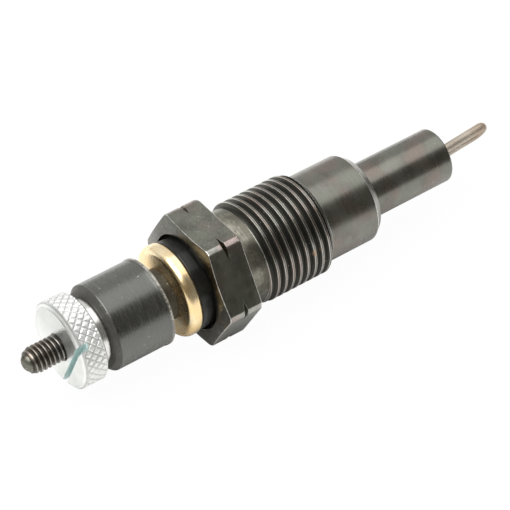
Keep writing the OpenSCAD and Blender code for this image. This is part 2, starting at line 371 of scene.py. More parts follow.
# diamond knurl pressed into the rim of a turned piece, then a saw slot across its face
def knurlAndSlot():
    tree, g = newTree("knurlAndSlot", {
        "rimRadius": "Float", "depth": "Float", "diamonds": "Int", "diamondLength": "Float",
        "plateau": "Float", "from": "Float", "to": "Float", "fade": "Float", "slotAt": "Vector",
        "slotSize": "Vector", "slotTurn": "Vector", "finish": "Material"}, geometryIn=True)
    x, y, z = split(tree, addNode(tree, "GeometryNodeInputPosition").outputs[0])
    radius, outward = fromAxis(tree, y, z)
    roundPhase = times(tree, turnShare(tree, y, z), g["diamonds"])
    alongPhase = calc(tree, "DIVIDE", x, g["diamondLength"])
    heights = []
    for mix in ("ADD", "SUBTRACT"):  # one set of grooves each way round
        phase = calc(tree, mix, roundPhase, alongPhase)
        ridge = calc(tree, "ABSOLUTE", calc(tree, "SUBTRACT", calc(tree, "FRACT", phase), 0.5))
        heights.append(times(tree, ridge, 2.0))
    height = calc(tree, "MULTIPLY", calc(tree, "MINIMUM", *heights), g["plateau"], clamp=True)
    onRim = calc(tree, "GREATER_THAN", radius, calc(tree, "SUBTRACT", g["rimRadius"], 0.01 * mm))
    fadeIn = ramp(tree, x, g["from"], calc(tree, "ADD", g["from"], g["fade"]))
    fadeOut = ramp(tree, x, g["to"], calc(tree, "SUBTRACT", g["to"], g["fade"]))
    mask = times(tree, onRim, fadeIn, fadeOut)
    sink = times(tree, calc(tree, "SUBTRACT", height, 1.0), g["depth"], mask)
    offset = vectorCalc(tree, "SCALE", outward, sink)
    pressed = addNode(tree, "GeometryNodeSetPosition", {"Geometry": g["Geometry"], "Offset": offset})
    saw = addNode(tree, "GeometryNodeMeshCube", {"Size": g["slotSize"]}).outputs[0]
    saw = addNode(tree, "GeometryNodeTransform", {"Geometry": saw, "Translation": g["slotAt"]}).outputs[0]
    saw = addNode(tree, "GeometryNodeTransform", {"Geometry": saw, "Rotation": g["slotTurn"]}).outputs[0]
    cut = addNode(tree, "GeometryNodeMeshBoolean", operation="DIFFERENCE", solver="EXACT")
    plug(tree, cut.inputs["Mesh 1"], pressed.outputs[0])
    plug(tree, cut.inputs["Mesh 2"], saw)
    endTree(tree, cut.outputs[0], g["finish"])
    return tree


# round wire along a curve
def wireSweep():
    tree, g = newTree("wireSweep", {
        "wireRadius": "Float", "sides": "Int", "finish": "Material"}, geometryIn=True)
    section = addNode(tree, "GeometryNodeCurvePrimitiveCircle", {
        "Resolution": g["sides"], "Radius": g["wireRadius"]}).outputs[0]
    swept = addNode(tree, "GeometryNodeCurveToMesh", {
        "Curve": g["Geometry"], "Profile Curve": section, "Fill Caps": True}).outputs[0]
    endTree(tree, swept, g["finish"])
    return tree


# finishes

# chemically blackened steel: mottled oxide, turning marks, specks, and bare metal on worn edges
def blackenedSteel(name, look):
    material, tree, shader = newMaterial(name, Metallic=1.0)
    at = turnedCoords(tree, look["linesPerMetre"], 0.9)
    point = at["point"]
    lines = noise(tree, at["winding"], 1.0, 5.0, 0.72)
    cloud = noise(tree, point, look["cloudPerMetre"], 4.0, 0.6)
    tint = noise(tree, point, 210.0, 2.0, 0.5)
    grain = noise(tree, point, 9000.0, 3.0, 0.6)
    colour = blend(tree, ramp(tree, cloud, 0.3, 0.7), look["dark"], look["light"])
    colour = blend(tree, ramp(tree, tint, 0.5, 0.66, 0.0, 0.75), colour, look["warm"])
    colour = blend(tree, ramp(tree, tint, 0.5, 0.34, 0.0, 0.65), colour, look["green"])
    shade = sway(tree, grain, look["grainShade"], sway(tree, lines, look["lineShade"], 1.0))
    grey = addNode(tree, "ShaderNodeCombineColor", {0: shade, 1: shade, 2: shade}).outputs[0]
    colour = blend(tree, 1.0, colour, grey, "MULTIPLY")
    if "mottle" in look:  # fine scuffing over the flats
        scuff = ramp(tree, noise(tree, point, 2100.0, 6.0, 0.72), 0.5, 0.68, 0.0, look["mottle"])
        colour = blend(tree, scuff, colour, look["scuff"])
    colour = blend(tree, specks(tree, point, 1500.0, 0.13, look["specks"]), colour, look["bare"])
    softer = 0.0
    if "reliefSpan" in look:  # the relief was left coarser than the rest, paler at the seat and on top
        softer = band(tree, at["x"], look["reliefSpan"], 0.3)
        streaks = calc(tree, "MULTIPLY_ADD", lines, 0.5, noise(tree, point, 700.0, 5.0, 0.7))
        streaks = calc(tree, "MULTIPLY_ADD", at["x"], -look["reliefFade"], streaks)
        coarse = blend(tree, ramp(tree, streaks, 0.4, 0.85), look["reliefDark"], look["reliefLight"])
        top, bottom = look["reliefShadeSpan"]
        under = ramp(tree, at["z"], top * mm, bottom * mm, 0.0, look["reliefUnder"])
        coarse = blend(tree, under, coarse, look["reliefDark"], "MULTIPLY")
        colour = blend(tree, softer, colour, coarse)
    for start, end in look.get("rubbedSpans", ()):  # bevels that are rubbed paler
        after = calc(tree, "GREATER_THAN", at["x"], start * mm)
        before = calc(tree, "LESS_THAN", at["x"], end * mm)
        rubbed = times(tree, after, before, ramp(tree, cloud, 0.3, 0.6, 0.5, 0.9))
        colour = blend(tree, rubbed, colour, look["rubbed"])
    if "cornerSpan" in look:  # the turned corners of the hexagon are rubbed too, and patchy
        first, last = look["cornerSpan"]
        corner = ramp(tree, at["radius"], first * mm, last * mm)
        patchy = ramp(tree, noise(tree, point, 900.0, 4.0, 0.65), 0.35, 0.6, 0.25, 1.0)
        strip = blend(tree, ramp(tree, tint, 0.4, 0.6), look["cornerPale"], look["cornerWarm"])
        colour = blend(tree, times(tree, corner, patchy), colour, strip)
    worn = wornEdges(tree, noise(tree, point, 1900.0, 4.0, 0.65), look["wearReach"], 0.4, 0.75)
    colour = blend(tree, worn, colour, look["bare"])
    rough = sway(tree, lines, look["lineShade"] * 0.3, look["roughness"])
    rough = sway(tree, cloud, 0.14, rough)
    rough = calc(tree, "MULTIPLY_ADD", softer, 0.04, rough, clamp=True)
    height = calc(tree, "MULTIPLY_ADD", lines, look["lineDepth"], times(tree, grain, look["grainDepth"]))
    dress(tree, shader, colour, rough, height, 0.35, 0.02)
    return material


# thread steel: dark grooves and roots, dull lands, edges partly bare and partly painted highlight, told
# apart by place on the helix
def threadSteel(name, look, pitch, phase):
    material, tree, shader = newMaterial(name, Metallic=1.0)
    at = turnedCoords(tree, 9000.0, 2.5)
    point = at["point"]
    lines = noise(tree, at["winding"], 1.0, 3.0, 0.6)
    patch = noise(tree, point, 260.0, 3.0, 0.6)
    grain = noise(tree, point, 5200.0, 3.0, 0.6)
    turn = turnShare(tree, at["y"], at["z"])
    along = calc(tree, "DIVIDE", calc(tree, "SUBTRACT", at["x"], phase * mm), pitch * mm)
    # share of the pitch from the middle of the land, negative towards the terminal end
    place = calc(tree, "FRACT", calc(tree, "ADD", calc(tree, "SUBTRACT", along, turn), 0.5))
    place = calc(tree, "SUBTRACT", place, 0.5)
    away = sway(tree, grain, 0.06, calc(tree, "ABSOLUTE", place))
    half = look["landHalf"]
    onLand = ramp(tree, away, half + 0.02, half - 0.02)
    colour = blend(tree, ramp(tree, patch, 0.4, 0.7), look["groove"], look["grooveWarm"])
    nearRoot = ramp(tree, place, look["rootFrom"] - 0.04, look["rootFrom"] + 0.04)
    farRoot = ramp(tree, place, -look["rootTo"], -look["rootTo"] - 0.08)
    for share in (nearRoot, farRoot):
        colour = blend(tree, share, colour, look["root"])
    land = blend(tree, ramp(tree, patch, 0.35, 0.65), look["land"], look["landWarm"])
    colour = blend(tree, onLand, colour, land)
    # bright land edges: partly bare worn metal, partly painted highlight in place of glints on rounded
    # edges, painted brighter on the edge towards the terminal end
    fromEdge = calc(tree, "ABSOLUTE", calc(tree, "SUBTRACT", away, half - 0.01))
    edge = ramp(tree, fromEdge, look["edgeWidth"], look["edgeWidth"] * 0.3)
    side = ramp(tree, place, -0.05, 0.05, 1.0, look["farEdgeHighlight"])
    bare = times(tree, edge, side, ramp(tree, grain, 0.25, 0.5, 0.45, 1.0))
    wearAndHighlightTone = blend(tree, ramp(tree, patch, 0.4, 0.6), look["edge"], look["edgeWarm"])
    colour = blend(tree, bare, colour, wearAndHighlightTone)
    colour = blend(tree, specks(tree, point, 1300.0, 0.17, look["specks"]), colour, look["edgeWarm"])
    if "rustAt" in look:  # one small rust mark
        offset = vectorCalc(tree, "SUBTRACT", point, [v * mm for v in look["rustAt"]])
        offset = vectorCalc(tree, "DIVIDE", offset, [v * mm for v in look["rustReach"]])
        ragged = sway(tree, grain, 2.0, vectorCalc(tree, "LENGTH", offset))
        colour = blend(tree, ramp(tree, ragged, 1.0, 0.5), colour, look["rust"])
    rough = sway(tree, lines, 0.2, look["roughness"])
    rough = calc(tree, "MULTIPLY_ADD", onLand, -0.15, rough, clamp=True)
    dress(tree, shader, colour, rough, calc(tree, "MULTIPLY_ADD", grain, 0.5, lines), 0.3, 0.02)
    return material


# bright plating: cloudy tone, painted shade on top, darker where the knurl begins and in its roots, and a
# film in the saw slot
def brightPlating(name, look):
    material, tree, shader = newMaterial(name, Metallic=look["metal"])
    at = turnedCoords(tree, 7000.0, 2.0)
    point = at["point"]
    lines = noise(tree, at["winding"], 1.0, 3.0, 0.6)
    cloud = noise(tree, point, 420.0, 4.0, 0.6)
    grain = noise(tree, point, 6500.0, 3.0, 0.6)
    colour = blend(tree, ramp(tree, cloud, 0.3, 0.7), look["dull"], look["bright"])
    if "paintedTopShadeSpan" in look:  # painted shade: the colour is darkened towards the top, to even out the strong light from above
        low, high = look["paintedTopShadeSpan"]
        topShadeMask = ramp(tree, at["z"], low * mm, high * mm)
        colour = blend(tree, topShadeMask, colour, look["paintedTopShade"], "MULTIPLY")
    if "grooveRadius" in look:  # darker where the knurl begins and in its roots
        start = band(tree, at["x"], look["startSpan"], 0.3)
        start = times(tree, start, ramp(tree, cloud, 0.3, 0.6, 0.2, 0.6))
        colour = blend(tree, start, colour, look["knurlDark"])
        groove = look["grooveRadius"]
        low = ramp(tree, at["radius"], groove * mm, look["crownRadius"] * mm, 0.8, 0.0)
        onRim = ramp(tree, at["radius"], (groove - 0.1) * mm, (groove - 0.02) * mm)
        roots = times(tree, low, onRim, ramp(tree, grain, 0.3, 0.6))
        colour = blend(tree, roots, colour, look["knurlDark"])
    if "film" in look:  # blue-green film in the saw slot, and a face that is more of a mirror
        turned = addNode(tree, "ShaderNodeVectorRotate", {
            "Vector": point, "Axis": (1, 0, 0), "Angle": -math.radians(nutSizes["slotTurn"])}).outputs[0]
        away = calc(tree, "SUBTRACT", split(tree, turned)[1], nutSizes["slotOffset"] * mm)
        away = sway(tree, cloud, 0.5 * mm, calc(tree, "ABSOLUTE", away))
        film = ramp(tree, away, look["filmEdge"] * mm, look["filmCore"] * mm)
        film = times(tree, film, ramp(tree, at["x"], look["filmEnd"] * mm, (look["filmEnd"] - 0.3) * mm))
        clean = calc(tree, "SUBTRACT", 1.0, film)
        colour = blend(tree, film, colour, look["film"])
        faceEnd = nutSizes["front"] + look["faceSoft"]
        onFace = ramp(tree, at["x"], (faceEnd + look["faceSoft"]) * mm, faceEnd * mm)
        colour = blend(tree, times(tree, onFace, clean), colour, look["faceTone"], "MULTIPLY")
        metal = ramp(tree, onFace, 0.0, 1.0, look["metal"], look["faceMetal"])
        plug(tree, shader.inputs["Metallic"], times(tree, metal, clean))
    rough = sway(tree, cloud, 0.2, sway(tree, lines, 0.22, look["roughness"]), clamp=True)
    dress(tree, shader, colour, rough, calc(tree, "ADD", lines, grain), 0.2, 0.01)
    return material


# black moulding: fine lines round it, dust specks, pale chips on its lip and edges
def blackMoulding(name, look):
    material, tree, shader = newMaterial(name, Metallic=0.0, IOR=look["ior"], Specular_Tint=look["shine"])
    at = turnedCoords(tree, look["linesPerMetre"], 1.8)
    point = at["point"]
    lines = noise(tree, at["winding"], 1.0, 4.0, 0.7)
    cloud = noise(tree, point, 330.0, 4.0, 0.6)
    grain = noise(tree, point, look["grainPerMetre"], 4.0, 0.65)
    colour = blend(tree, ramp(tree, cloud, 0.3, 0.72), look["dark"], look["light"])
    colour = blend(tree, ramp(tree, grain, 0.5, 0.75, 0.0, look["grainShade"]), colour, look["dust"])
    colour = blend(tree, ramp(tree, lines, 0.5, 0.8, 0.0, look["lineShade"]), colour, look["dust"])
    dots = specks(tree, point, 1100.0, 0.17, look["specks"])
    if "lipSpan" in look:  # pale chips along the lip
        first, last = look["lipSpan"]
        chips = ramp(tree, noise(tree, point, 1500.0, 4.0, 0.7), 0.45, 0.6, 0.25, 1.0)
        dots = calc(tree, "MAXIMUM", dots, times(tree, ramp(tree, at["x"], first * mm, last * mm), chips))
    worn = wornEdges(tree, noise(tree, point, 2300.0, 4.0, 0.7), 0.35, 0.42, 0.8)
    for share in (dots, worn):
        colour = blend(tree, share, colour, look["chip"])
    rough = sway(tree, lines, 0.25, look["roughness"])
    rough = calc(tree, "MULTIPLY_ADD", worn, 0.3, rough, clamp=True)
    height = calc(tree, "MULTIPLY_ADD", lines, 0.45, times(tree, grain, look["grainDepth"]))
    dress(tree, shader, colour, rough, height, look["bump"], 0.02)
    return material


# plain turned or drawn metal with cloudy tone, for brass, tube and wire
def drawnMetal(name, look):
    material, tree, shader = newMaterial(name, Metallic=1.0)
    at = turnedCoords(tree, look["linesPerMetre"], 2.0)
    lines = noise(tree, at["winding"], 1.0, 3.0, 0.6)
    cloud = noise(tree, at["point"], look["cloudPerMetre"], 4.0, 0.6)
    colour = blend(tree, ramp(tree, cloud, 0.32, 0.7), look["deep"], look["pale"])
    dots = specks(tree, at["point"], 1700.0, 0.17, look["specks"])
    colour = blend(tree, times(tree, dots, 0.7), colour, look["spot"])
    if "heatSpan" in look:  # heat colour towards one end
        first, last = look["heatSpan"]
        uneven = calc(tree, "MULTIPLY_ADD", cloud, 2.0 * mm, at["x"])
        colour = blend(tree, ramp(tree, uneven, first * mm, last * mm), colour, look["heat"])
    rough = sway(tree, cloud, 0.18, sway(tree, lines, 0.2, look["roughness"]), clamp=True)
    dress(tree, shader, colour, rough, lines, look["bump"], 0.01)
    return material


# fired or cast mineral, matt and grainy
def mineral(name, look):
    material, tree, shader = newMaterial(name, Metallic=0.0)
    point = addNode(tree, "ShaderNodeTexCoord").outputs["Object"]
    cloud = noise(tree, point, 500.0, 4.0, 0.6)
    grain = noise(tree, point, 5000.0, 4.0, 0.65)
    colour = blend(tree, ramp(tree, cloud, 0.3, 0.7), look["dark"], look["light"])
    colour = blend(tree, ramp(tree, grain, 0.55, 0.75, 0.0, 0.5), colour, look["pit"])
    dress(tree, shader, colour, 0.8, grain, 0.6, 0.05)
    return material


# plug body: hexagon, relief, thread, nose and tip, with sizes in millimetres from the seat face
bodySizes = {
    **solidSizes("plug_body"),  # the radius here is that of the flats
    "cornerRadius": 11.75, "cornerSoft": 0.1, "faceRadius": 9.0, "faceSlope": 11.0, "edgeCut": 0.14,
    "seatBevel": 0.3, "seatBevelLeast": 0.14, "notchAt": -3.15, "notchHalf": 0.38, "notchRadius": 10.95,
    "recessRadius": 8.45, "recessEnd": -2.6, "boreRadius": 5.4, "boreEnd": 24.0, "tipBore": 4.0,
    "reliefRadius": 8.35, "coreRadius": 7.9, "collarRadius": 8.72, "collarEnd": 17.2, "noseRadius": 7.8,
    "taperStart": 26.7, "taperRadius": 6.8, "shoulder": 28.0, "tipRadius": 4.85,
}
engineThread = {
    "start": 3.8, "end": 16.45, "pitch": 1.5, "phase": 0.15, "crestRadius": 9.0, "rootRadius": 8.4,
    "innerRadius": 7.7, "leadIn": 0.8, "leadOut": 0.3,
}
hexLook = {
    "dark": (0.142, 0.145, 0.124), "light": (0.228, 0.233, 0.2), "warm": (0.205, 0.187, 0.166),
    "green": (0.188, 0.205, 0.169), "bare": (0.8, 0.78, 0.74), "mottle": 0.5, "scuff": (0.34, 0.33, 0.3),
    "cornerSpan": (bodySizes["cornerRadius"] - 0.14, bodySizes["cornerRadius"] - 0.04),
    "cornerPale": (0.34, 0.335, 0.312), "cornerWarm": (0.38, 0.305, 0.288), "linesPerMetre": 900.0,
    "cloudPerMetre": 300.0, "lineShade": 0.25, "grainShade": 0.5, "specks": 0.42, "wearReach": 0.42,
    "roughness": 0.24, "lineDepth": 0.15, "grainDepth": 0.25,
}
# painted shade: a darker copy of the hexagon finish for the coned face, standing in for the shadowed floor
# it reflects
hexFaceShadedLook = dict(
    hexLook, dark=(0.05, 0.05, 0.043), light=(0.11, 0.108, 0.092), warm=(0.115, 0.092, 0.066),
    green=(0.09, 0.095, 0.08), mottle=0.3)
turnedLook = {
    "dark": (0.155, 0.151, 0.133), "light": (0.215, 0.211, 0.188), "warm": (0.205, 0.171, 0.152),
    "green": (0.174, 0.184, 0.156), "bare": (0.72, 0.7, 0.66), "linesPerMetre": 3200.0,
    "cloudPerMetre": 240.0, "lineShade": 0.42, "grainShade": 0.35, "specks": 0.1, "wearReach": 0.3,
    "roughness": 0.28, "lineDepth": 0.18, "grainDepth": 0.25,
}
bodyLook = dict(
    turnedLook, reliefSpan=(-0.2, 4.3), reliefDark=(0.16, 0.155, 0.126), reliefLight=(0.38, 0.364, 0.306),
    reliefFade=90.0, reliefShadeSpan=(6.5, -1.0), reliefUnder=0.7,
    rubbedSpans=((26.75, 28.0), (16.3, 17.3)), rubbed=(0.33, 0.325, 0.305))
engineThreadLook = {
    "landHalf": 0.125, "groove": (0.078, 0.078, 0.068), "grooveWarm": (0.082, 0.073, 0.063),
    "root": (0.04, 0.04, 0.035), "rootFrom": 0.2, "rootTo": 0.34, "land": (0.14, 0.138, 0.12),
    "landWarm": (0.165, 0.141, 0.124), "edge": (0.66, 0.65, 0.61), "edgeWarm": (0.58, 0.51, 0.46),
    # the edge colours and the far-edge share paint bare metal and painted highlight on the land edges
    "edgeWidth": 0.05, "farEdgeHighlight": 0.6, "specks": 0.14, "roughness": 0.42,
    "rustAt": (12.9, -8.75, 1.9), "rustReach": (1.5, 0.6, 0.6), "rust": (0.34, 0.25, 0.17),
}
threadTree = screwThread()


def smoothMin(a, b, soft):
    h = max(soft - abs(a - b), 0.0) / soft
    return min(a, b) - h * h * soft / 4


# the outline changes round the hexagon, and the turned parts stay the same
def bodyOutline(angle):
    s = bodySizes
    toFlat = (math.degrees(angle) % 60) - 30
    hexRadius = s["radius"] / math.cos(math.radians(toFlat))
    rim = smoothMin(hexRadius, s["cornerRadius"], s["cornerSoft"])
    edge = s["front"] + (rim - s["faceRadius"]) * math.tan(math.radians(s["faceSlope"]))
    notch = max(rim - s["notchRadius"], 0.0) / (s["cornerRadius"] - s["notchRadius"])
    notchHalf = max(s["notchHalf"] * notch, 0.02)  # never nothing, so every outline has the same points
    notchWear = 0.6 * min(notch * 3, 1)
    bevel = max(rim - (s["cornerRadius"] - s["seatBevel"]), s["seatBevelLeast"])
    threadStart = engineThread["start"]
    threadEnd = engineThread["end"]
    return softenOutline([
        (s["back"], s["tipBore"], 0.1, 0.3),
        (s["boreEnd"], s["tipBore"], 0, 0),
        (s["boreEnd"], s["boreRadius"], 0, 0),
        (s["recessEnd"], s["boreRadius"], 0, 0),
        (s["recessEnd"], s["recessRadius"], 0, 0),
        (s["front"], s["recessRadius"], 0.12, 0.55),
        (s["front"], s["faceRadius"], 0.2, 0.0),
        (edge, rim, s["edgeCut"], 0.8),
        (s["notchAt"] - notchHalf, rim, 0.05, notchWear),
        (s["notchAt"], min(rim, s["notchRadius"]), 0.03, 0.0),
        (s["notchAt"] + notchHalf, rim, 0.05, notchWear),
        (-bevel, rim, 0.08, 1.0),
        (0.0, rim - bevel, 0.08, 1.0),
        (0.0, s["reliefRadius"], 0.2, 0.0),
        (threadStart, s["reliefRadius"], 0, 0),  # from here to the collar the thread covers the core
        (threadStart + 0.2, s["coreRadius"], 0, 0),
        (threadEnd - 0.2, s["coreRadius"], 0, 0),
        (threadEnd - 0.05, s["collarRadius"], 0.06, 0.5),
        (s["collarEnd"], s["noseRadius"], 0.15, 0.0),
        (s["taperStart"], s["noseRadius"], 0.16, 1.0),
        (s["shoulder"], s["taperRadius"], 0.14, 0.7),
        (s["shoulder"], s["tipRadius"], 0.25, 0.0),
        (s["back"], s["tipRadius"], 0.4, 0.55),
    ])


def makeBody():
    # degrees from a corner, closest where the turned corner ends
    apart = [0.8, 1.5, 1.9, 2.12, 2.3, 2.5, 2.8, 3.3, 4.0, 5.0, 6.0, 7.0, 7.8, 8.4, 9.5]
    apart += range(12, 30, 3)
    offsets = sorted([0, 30] + apart + [-a for a in apart])
    angles = [math.radians(60 * k + offset) for k in range(6) for offset in offsets]
    turnedSteel = blackenedSteel("blackenedTurning", bodyLook)
    body = skinOutlines("plug_body_shell", angles, [bodyOutline(a) for a in angles], turnedSteel)
    body.data.materials.append(blackenedSteel("blackenedHexagon", hexLook))
    body.data.materials.append(blackenedSteel("blackenedHexagonFaceShaded", hexFaceShadedLook))
    inner = (bodySizes["recessRadius"] - 0.05) * mm
    for face in body.data.polygons:  # the hexagon has the milled finish, the rest is turned
        c = face.center
        if c.x < -0.002 * mm and math.hypot(c.y, c.z) > inner:
            # the coned face gets the darker copy of the finish, which is painted shade
            face.material_index = 2 if face.normal.x < -0.8 else 1
    steel = threadSteel("engineThreadSteel", engineThreadLook, engineThread["pitch"], engineThread["phase"])
    thread = growPiece("engine_thread", threadTree, {
        **inMetres(engineThread), "crestFlat": 0.25, "rootFlat": 0.25, "columns": 192, "rowsPerPitch": 16,
        "finish": steel}, sharpAngle=25)
    settle(joinPieces("plug_body_shell", body, thread), "blackened_steel", "plug_body")


# centre electrode: threaded terminal stud with a domed point, and the rod inside
studSizes = {
    "tip": -37.99, "domeHeight": 1.05, "domeSpan": 77.4, "pointRadius": 1.62, "shaftRadius": 1.8,
    "shaftEnd": -13.3, "rodRadius": 1.6, "rodEnd": 41.0, "socketStart": 38.4, "socketRadius": 0.855,
}
studThread = {
    "start": -37.0, "end": -30.9, "pitch": 0.81, "phase": 0.37, "crestRadius": 2.32, "rootRadius": 1.86,
    "innerRadius": 1.5, "leadIn": 1.1, "leadOut": 0.3,
}
studLook = {
    "landHalf": 0.1, "groove": (0.1, 0.094, 0.082), "grooveWarm": (0.105, 0.087, 0.068),
    "root": (0.06, 0.055, 0.047), "rootFrom": 0.25, "rootTo": 0.36, "land": (0.19, 0.184, 0.166),
    "landWarm": (0.195, 0.173, 0.15), "edge": (0.42, 0.405, 0.375), "edgeWarm": (0.36, 0.325, 0.29),
    # the edge colours and the far-edge share paint bare metal and painted highlight on the land edges
    "edgeWidth": 0.08, "farEdgeHighlight": 0.4, "specks": 0.2, "roughness": 0.45,
}
studPointLook = dict(
    turnedLook, dark=(0.055, 0.047, 0.037), light=(0.25, 0.222, 0.185), warm=(0.2, 0.16, 0.115),
    cloudPerMetre=1100.0, specks=0.5, roughness=0.44, lineShade=0.6)


def makeStud():
    s = studSizes
    span = math.radians(s["domeSpan"])
    domeSteps = 8
    corners = []
    for step in range(domeSteps + 1):  # domed point, from the axis outwards
        t = span * step / domeSteps
        rise = (1 - math.cos(t)) / (1 - math.cos(span))
        reach = math.sin(t) / math.sin(span)
        corners.append((s["tip"] + s["domeHeight"] * rise, s["pointRadius"] * reach, 0, 0))
    corners += [
        (studThread["start"] + 0.3, s["pointRadius"], 0.05, 0.3),
        (studThread["start"] + 0.7, s["shaftRadius"], 0, 0),
        (s["shaftEnd"], s["shaftRadius"], 0, 0),
        (s["shaftEnd"], s["rodRadius"], 0, 0),
        (s["rodEnd"], s["rodRadius"], 0.05, 0),
        (s["rodEnd"], s["socketRadius"], 0.05, 0),
        (s["socketStart"], s["socketRadius"], 0, 0),
        (s["socketStart"], 0.0, 0, 0),
    ]
    shaft = turnPiece("stud_shaft", corners, blackenedSteel("studPoint", studPointLook), 96, closed=False)
    steel = threadSteel("studThreadSteel", studLook, studThread["pitch"], studThread["phase"])
    thread = growPiece("stud_thread", threadTree, {
        **inMetres(studThread), "crestFlat": 0.167, "rootFlat": 0.167, "columns": 120, "rowsPerPitch": 12,
        "finish": steel}, sharpAngle=60)
    settle(joinPieces("centre_electrode_stud", shaft, thread), "stud_steel", "centre_electrode")


# thumb nut: knurled rim, bevels, saw slot beside the stud
nutSizes = {
    **solidSizes("thumb_nut"), "bore": 2.38, "faceRadius": 6.8, "bevel": 0.6, "backBevel": 0.3,
    "depth": 0.2, "diamonds": 31, "diamondLength": 1.53, "plateau": 2.5, "fade": 0.1, "slotOffset": 3.83,
    "slotWidth": 1.0, "slotDepth": 1.55, "slotTurn": 205.1, "sawPast": 2.0, "sawLength": 20.0,
}
nutLook = {
    "metal": 0.5, "bright": (0.95, 0.955, 0.945), "dull": (0.85, 0.858, 0.85), "knurlDark": (0.27, 0.27, 0.26),
    # the top tone and its span are painted shade, darkening the nut towards the top
    "roughness": 0.33, "paintedTopShade": (0.8, 0.805, 0.805), "paintedTopShadeSpan": (-3.0, 6.0), "faceSoft": 0.1,
    "faceMetal": 0.85, "faceTone": (0.82, 0.83, 0.82), "startSpan": (-31.05, -30.45), "grooveRadius": 7.41,
    "crownRadius": 7.54, "film": (0.56, 0.72, 0.71), "filmEdge": 0.57, "filmCore": 0.51, "filmEnd": -29.4,
}


def makeNut():
    s = nutSizes
    rimStart = s["front"] + s["bevel"]
    rimEnd = s["back"] - s["backBevel"]
    rows = 34  # along the rim, fine enough for the knurl
    columns = 16 * s["diamonds"]
    corners = [
        (s["back"], s["bore"], 0.15, 0),
        (s["front"], s["bore"], 0.15, 0),
        (s["front"], s["faceRadius"], 0.08, 0.6),
        *[(rimStart + (rimEnd - rimStart) * i / rows, s["radius"], 0, 0) for i in range(rows + 1)],
        (s["back"], s["radius"] - s["backBevel"], 0.06, 0.4),
    ]
    zinc = brightPlating("brightZinc", nutLook)
    nut = turnPiece("thumb_nut_knurled", corners, zinc, columns)
    slotMiddle = s["front"] + (s["slotDepth"] - s["sawPast"]) / 2
    nut = growPiece("thumb_nut_knurled", knurlAndSlot(), {
        **inMetres({"rimRadius": s["radius"], "depth": s["depth"], "diamondLength": s["diamondLength"],
                    "from": rimStart, "to": rimEnd, "fade": s["fade"]}),
        "diamonds": s["diamonds"], "plateau": s["plateau"],
        "slotAt": (slotMiddle * mm, s["slotOffset"] * mm, 0.0),
        "slotSize": ((s["slotDepth"] + s["sawPast"]) * mm, s["slotWidth"] * mm, s["sawLength"] * mm),
        "slotTurn": (math.radians(s["slotTurn"]), 0.0, 0.0), "finish": zinc}, start=nut, sharpAngle=50)
    settle(nut, "bright_zinc", "thumb_nut")


# terminal washer
washerSizes = {**solidSizes("terminal_washer"), "bore": 2.45, "round": 0.2}
washerLook = {"metal": 1.0, "bright": (0.8, 0.8, 0.78), "dull": (0.68, 0.67, 0.64), "roughness": 0.24}


def makeWasher():
    s = washerSizes
    corners = [
        (s["back"], s["bore"], 0.1, 0),
        (s["front"], s["bore"], 0.1, 0),
        (s["front"], s["radius"], s["round"], 0.5),
        (s["back"], s["radius"], s["round"], 0.5),
    ]
    washer = turnPiece("terminal_washer_plated", corners, brightPlating("washerZinc", washerLook), 160)
    settle(washer, "washer_zinc", "terminal_washer")


# insulating spacer with its spigot
spacerSizes = {
    **solidSizes("insulating_spacer"), "lipEnd": -14.14, "lipLength": 1.0, "lipRise": 0.5, "lip": 0.12,
    "bevel": 0.85, "spigot": 4.5, "bore": 2.45,
}
spacerLook = {
    "dark": (0.005, 0.005, 0.0045), "light": (0.013, 0.013, 0.0115), "dust": (0.06, 0.06, 0.056),
    "chip": (0.42, 0.39, 0.34), "linesPerMetre": 4000.0, "lineShade": 0.9, "grainPerMetre": 4600.0,
    "grainShade": 0.9, "grainDepth": 1.6, "specks": 0.22, "roughness": 0.26, "bump": 0.55, "ior": 2.1,
    "shine": (0.98, 1.0, 0.93, 1.0), "lipSpan": (-14.75, -14.4),
}
spacerFaceLook = {
    "dark": (0.018, 0.0175, 0.015), "light": (0.045, 0.043, 0.037), "dust": (0.09, 0.087, 0.076),
    "chip": (0.3, 0.28, 0.25), "linesPerMetre": 2400.0, "lineShade": 0.6, "grainPerMetre": 2600.0,
    "grainShade": 0.8, "grainDepth": 1.0, "specks": 0.3, "roughness": 0.48, "bump": 0.6, "ior": 1.62,
    "shine": (0.98, 1.0, 0.93, 1.0),
}
spigotLook = dict(
    spacerFaceLook, dark=(0.022, 0.018, 0.013), light=(0.06, 0.052, 0.04), dust=(0.11, 0.1, 0.08), ior=1.5)


def makeSpacer():
    s = spacerSizes
    lipStart = s["lipEnd"] - s["lipLength"]
    barrel = s["radius"] - s["lip"]
    corners = [
        (s["back"], s["bore"], 0.1, 0),
        (s["front"], s["bore"], 0.1, 0),
        (s["front"], barrel - s["bevel"], 0.12, 0.2),
        (s["front"] + s["bevel"], barrel, 0.15, 0.4),
        (lipStart, barrel, 0.2, 0.0),
        (lipStart + s["lipRise"], s["radius"], 0.15, 0.0),
        (s["lipEnd"], s["radius"], 0.22, 1.0),
        (s["lipEnd"], s["spigot"], 0.15, 0.0),
        (s["back"], s["spigot"], 0.1, 0.3),
    ]
    spacer = turnPiece("insulating_spacer_moulded", corners, blackMoulding("mouldedBlack", spacerLook))
    spacer.data.materials.append(blackMoulding("mouldedBlackFace", spacerFaceLook))
    spacer.data.materials.append(blackMoulding("mouldedBlackSpigot", spigotLook))
    for face in spacer.data.polygons:  # the bevelled front and the spigot were left dull
        if face.center.x < (s["front"] + s["bevel"] - 0.05) * mm:
            face.material_index = 1
        elif face.center.x > (s["lipEnd"] - 0.01) * mm:
            face.material_index = 2
    settle(spacer, "moulded_black", "insulating_spacer")


